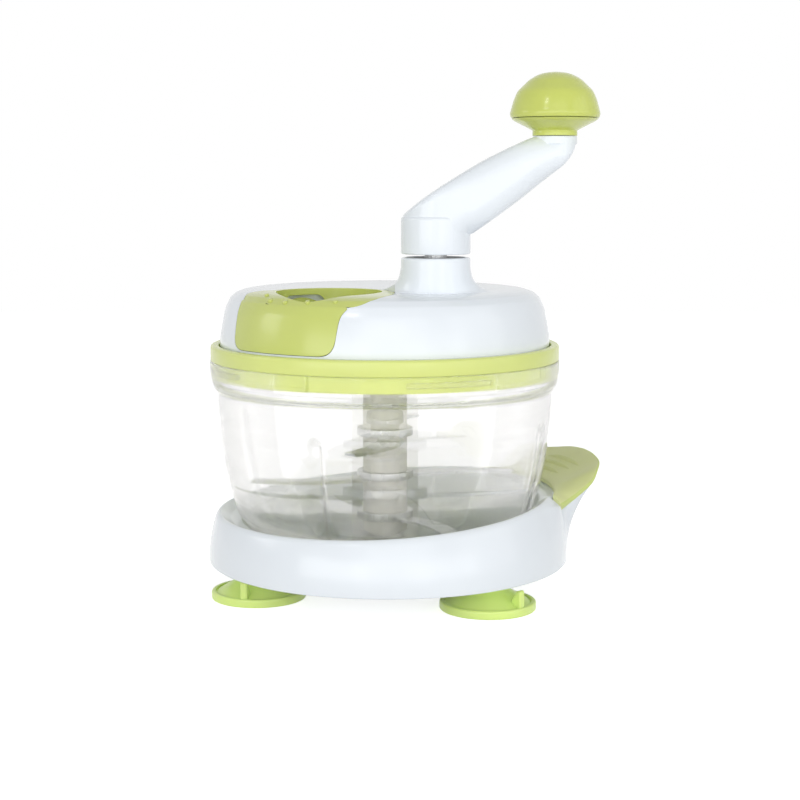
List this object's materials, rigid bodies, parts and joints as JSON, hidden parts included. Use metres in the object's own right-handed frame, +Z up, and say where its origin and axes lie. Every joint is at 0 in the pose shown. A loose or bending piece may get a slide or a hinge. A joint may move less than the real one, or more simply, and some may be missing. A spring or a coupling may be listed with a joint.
{
  "type": "manual food chopper",
  "caption": "Hand-cranked food chopper: clear bowl with blades under a geared crank lid, in a tray on suction cups with a lever.",
  "frame": {"origin": "centre of the footprint's bounding box, on the plane that the suction cups stand on", "axes": "+Z up along the bowl's axis; +X towards the side that the crank knob and the suction lever's tab are on; the crank's axis is at the front right (-Y) of the bowl's axis"},
  "size_m": [0.218, 0.1984, 0.2808],
  "materials": {
    "white_plastic": "polished moulding",
    "green_plastic": "polished moulding",
    "ring_plastic": "polished moulding",
    "lever_plastic": "fine satin moulding",
    "cup_rubber": "soft, slightly translucent",
    "clear_plastic": "clear polished",
    "grey_plastic": "moulded",
    "steel": "brushed"
  },
  "bodies": {
    "base": {"base_shell": "white_plastic", "base_bottom_plate": "white_plastic", "base_screw_1": "steel", "base_screw_2": "steel", "base_screw_3": "steel", "suction_cup_right": "cup_rubber", "suction_cup_left": "cup_rubber", "suction_cup_back": "cup_rubber", "lever_pin_back": "steel", "lever_pin_front": "steel"},
    "lifter": {"lift_ring": "grey_plastic", "cup_stud_right": "grey_plastic", "cup_stud_left": "grey_plastic", "cup_stud_back": "grey_plastic"},
    "lever": {"suction_lever": "lever_plastic"},
    "bowl": {"bowl": "clear_plastic", "bowl_pivot_pin": "grey_plastic"},
    "blades": {"blade_column": "grey_plastic", "drive_socket": "grey_plastic", "blade_low": "steel", "blade_mid": "steel", "blade_high": "steel"},
    "lid": {"lid_ring": "ring_plastic", "lid_screw_1": "steel", "lid_screw_2": "steel", "lid_screw_3": "steel", "lid_screw_4": "steel", "lid_cover": "white_plastic", "filler_insert": "green_plastic", "filler_chute": "white_plastic", "pinion_bush": "grey_plastic", "shaft_bush": "grey_plastic", "neck_bush": "grey_plastic"},
    "pinion": {"pinion": "grey_plastic", "drive_shaft": "steel"},
    "crank": {"crank_arm": "white_plastic", "crank_shaft": "steel", "shaft_clip": "steel", "crank_gear": "grey_plastic", "knob_spindle": "steel"},
    "knob": {"knob_base": "green_plastic", "knob_cap": "green_plastic"}
  },
  "joints": [
    {"name": "bowl_lift", "type": "slide", "parent": "base", "child": "bowl", "axis": [0, 0, 1], "range_m": [0, 0.06]},
    {"name": "lid_lift", "type": "slide", "parent": "bowl", "child": "lid", "axis": [0, 0, 1], "range_m": [0, 0.06]},
    {"name": "crank_turn", "type": "hinge", "parent": "lid", "child": "crank", "pos_m": [0.01513, -0.03599, 0.187], "axis": [0, 0, 1], "continuous": true},
    {"name": "knob_spin", "type": "hinge", "parent": "crank", "child": "knob", "pos_m": [0.07673, -0.03599, 0.25], "axis": [0, 0, 1], "continuous": true},
    {"name": "pinion_spin", "type": "hinge", "parent": "lid", "child": "pinion", "pos_m": [-0.01187, 0.00001, 0.144], "axis": [0, 0, 1], "continuous": true},
    {"name": "blade_spin", "type": "hinge", "parent": "bowl", "child": "blades", "pos_m": [-0.01187, 0.00001, 0.04], "axis": [0, 0, 1], "continuous": true},
    {"name": "lever_tilt", "type": "hinge", "parent": "base", "child": "lever", "pos_m": [0.06256, 0.02651, 0.044], "axis": [0.3355, -0.9421, 0], "range_deg": [0, 8]},
    {"name": "cup_release", "type": "slide", "parent": "base", "child": "lifter", "axis": [0, 0, 1], "range_m": [-0.0006, 0], "deforming": ["suction_cup_right", "suction_cup_left", "suction_cup_back"]}
  ],
  "couplings": [
    {"joint": "pinion_spin", "follows": "crank_turn", "ratio": -3},
    {"joint": "blade_spin", "follows": "crank_turn", "ratio": -3},
    {"joint": "cup_release", "follows": "lever_tilt", "m_per_rad": -0.0042}
  ]
}
